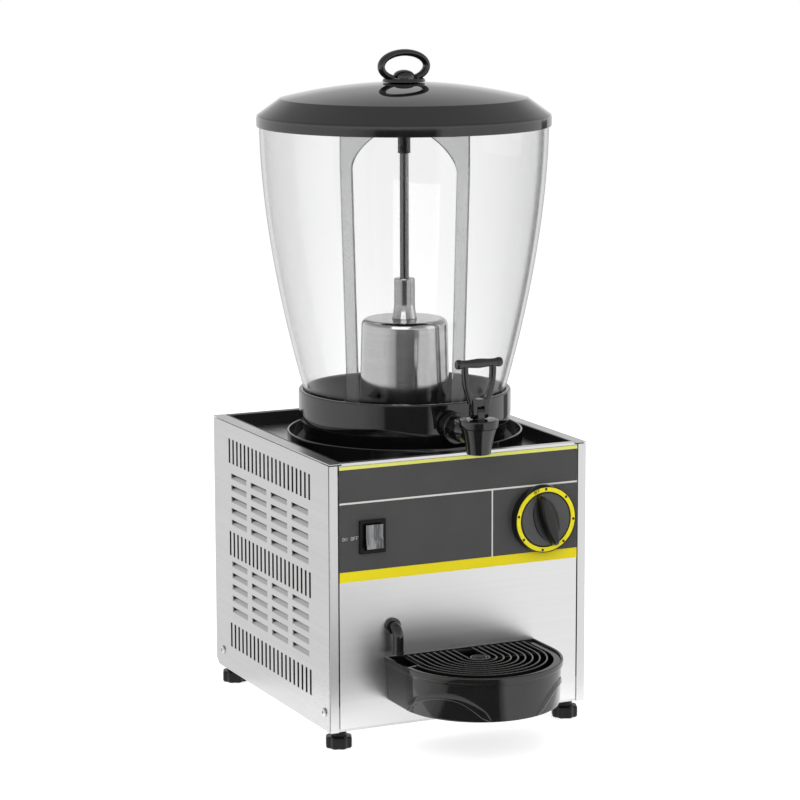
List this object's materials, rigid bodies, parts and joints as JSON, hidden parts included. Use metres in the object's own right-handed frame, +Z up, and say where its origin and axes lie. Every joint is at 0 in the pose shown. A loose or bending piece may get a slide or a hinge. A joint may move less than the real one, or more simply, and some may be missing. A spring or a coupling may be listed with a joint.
{
  "type": "ayran dispenser",
  "caption": "Countertop drink dispenser: steel cabinet with cooling and stirring drive, clear flared bowl with cooling dome and stirrer, lid, lever tap, drip tray and dial.",
  "frame": {"origin": "on the counter, under the middle of the box that holds the machine with its drip tray", "axes": "+Z up, -Y to the front where the tap and tray are, +X to the right as seen from the front"},
  "size_m": [0.2942, 0.4236, 0.6714],
  "materials": {
    "front_steel": "satin stainless sheet, grain across",
    "side_steel": "satin stainless sheet with pressed louvres",
    "deck_steel": "plain steel sheet",
    "fastener_steel": "bright zinc-plated steel",
    "dome_steel": "turned stainless steel",
    "rim_black": "semi-matt black trim",
    "gloss_black": "glossy black moulding",
    "tray_black": "semi-gloss black moulding",
    "foot_black": "matt black moulding",
    "control_black": "fine satin black moulding",
    "film_print": "dark grey printed film with yellow bands",
    "rocker_grey": "smoky translucent rocker lens",
    "clear_bowl": "clear polycarbonate",
    "clear_stirrer": "clear plastic",
    "seal_rubber": "black rubber",
    "machine_paint": "black machine paint",
    "fan_plastic": "black moulding",
    "cooling_metal": "plain aluminium and plated sheet"
  },
  "bodies": {
    "base": {"front_panel": "front_steel", "right_side_panel": "side_steel", "left_side_panel": "side_steel", "back_panel": "side_steel", "right_front_post": "side_steel", "left_front_post": "side_steel", "right_top_rail": "side_steel", "left_top_rail": "side_steel", "base_pan": "deck_steel", "deck": "deck_steel", "front_left_side_screw": "fastener_steel", "front_right_side_screw": "fastener_steel", "back_left_side_screw": "fastener_steel", "back_right_side_screw": "fastener_steel", "left_tray_stud": "fastener_steel", "right_tray_stud": "fastener_steel", "lever_pin": "fastener_steel", "cooling_dome": "dome_steel", "suction_pipe": "dome_steel", "neck_sleeve": "dome_steel", "well_trim": "rim_black", "bowl_collar": "gloss_black", "drip_ring": "gloss_black", "tap_body": "gloss_black", "tap_bonnet": "gloss_black", "tap_nut": "gloss_black", "tap_inner_nut": "gloss_black", "drain_elbow": "tray_black", "switch_bezel": "control_black", "thermostat_body": "control_black", "front_film": "film_print", "bowl": "clear_bowl", "bowl_seal": "seal_rubber", "tap_washer": "seal_rubber", "cord_gland": "seal_rubber", "drain_hose": "seal_rubber", "compressor": "machine_paint", "gearmotor": "machine_paint", "fan_motor": "machine_paint", "condenser": "cooling_metal", "fan_shroud": "cooling_metal", "filter_drier": "cooling_metal"},
    "lid": {"lid": "gloss_black", "lid_handle": "gloss_black", "handle_cap_screw": "gloss_black"},
    "stirrer": {"drive_shaft": "dome_steel", "stirrer_hub": "clear_stirrer", "stirrer_frame": "clear_stirrer"},
    "fan": {"fan_blade": "fan_plastic"},
    "lever": {"tap_lever": "gloss_black"},
    "plunger": {"tap_plunger": "seal_rubber"},
    "tray": {"drip_tray": "tray_black"},
    "grid": {"drip_grid": "tray_black"},
    "knob": {"thermostat_knob": "control_black"},
    "rocker": {"switch_rocker": "rocker_grey"},
    "front_left_foot": {"front_left_foot": "foot_black"},
    "front_right_foot": {"front_right_foot": "foot_black"},
    "back_left_foot": {"back_left_foot": "foot_black"},
    "back_right_foot": {"back_right_foot": "foot_black"}
  },
  "joints": [
    {"name": "lid_lift", "type": "slide", "parent": "base", "child": "lid", "axis": [0, 0, 1], "range_m": [0, 0.12]},
    {"name": "stirrer_spin", "type": "hinge", "parent": "base", "child": "stirrer", "pos_m": [0, 0.03875, 0.4212], "axis": [0, 0, 1], "continuous": true},
    {"name": "fan_spin", "type": "hinge", "parent": "base", "child": "fan", "pos_m": [0.082, 0.07675, 0.116], "axis": [1, 0, 0], "continuous": true},
    {"name": "tap_lever_pull", "type": "hinge", "parent": "base", "child": "lever", "pos_m": [0, -0.12825, 0.331], "axis": [1, 0, 0], "range_deg": [0, 40], "stiffness_Nm_per_rad": 0.2, "springref_deg": -17.19},
    {"name": "tap_plunger_lift", "type": "slide", "parent": "base", "child": "plunger", "axis": [0, 0, 1], "range_m": [0, 0.004]},
    {"name": "tray_pull", "type": "slide", "parent": "base", "child": "tray", "axis": [0, -1, 0], "range_m": [0, 0.1]},
    {"name": "grid_lift", "type": "slide", "parent": "tray", "child": "grid", "axis": [0, 0, 1], "range_m": [0, 0.06]},
    {"name": "thermostat_turn", "type": "hinge", "parent": "base", "child": "knob", "pos_m": [0.0899, -0.08905, 0.2117], "axis": [0, 1, 0], "range_deg": [0, 280]},
    {"name": "switch_rock", "type": "hinge", "parent": "base", "child": "rocker", "pos_m": [-0.0958, -0.08805, 0.2112], "axis": [1, 0, 0], "range_deg": [0, 10]},
    {"name": "front_left_foot_screw", "type": "hinge", "parent": "base", "child": "front_left_foot", "pos_m": [-0.1254, -0.07385, 0.018], "axis": [0, 0, 1], "range_deg": [0, 1080]},
    {"name": "front_right_foot_screw", "type": "hinge", "parent": "base", "child": "front_right_foot", "pos_m": [0.1254, -0.07385, 0.018], "axis": [0, 0, 1], "range_deg": [0, 1080]},
    {"name": "back_left_foot_screw", "type": "hinge", "parent": "base", "child": "back_left_foot", "pos_m": [-0.1254, 0.19695, 0.018], "axis": [0, 0, 1], "range_deg": [0, 1080]},
    {"name": "back_right_foot_screw", "type": "hinge", "parent": "base", "child": "back_right_foot", "pos_m": [0.1254, 0.19695, 0.018], "axis": [0, 0, 1], "range_deg": [0, 1080]}
  ],
  "couplings": [
    {"joint": "tap_lever_pull", "follows": "tap_plunger_lift", "rad_per_m": 174.5}
  ]
}
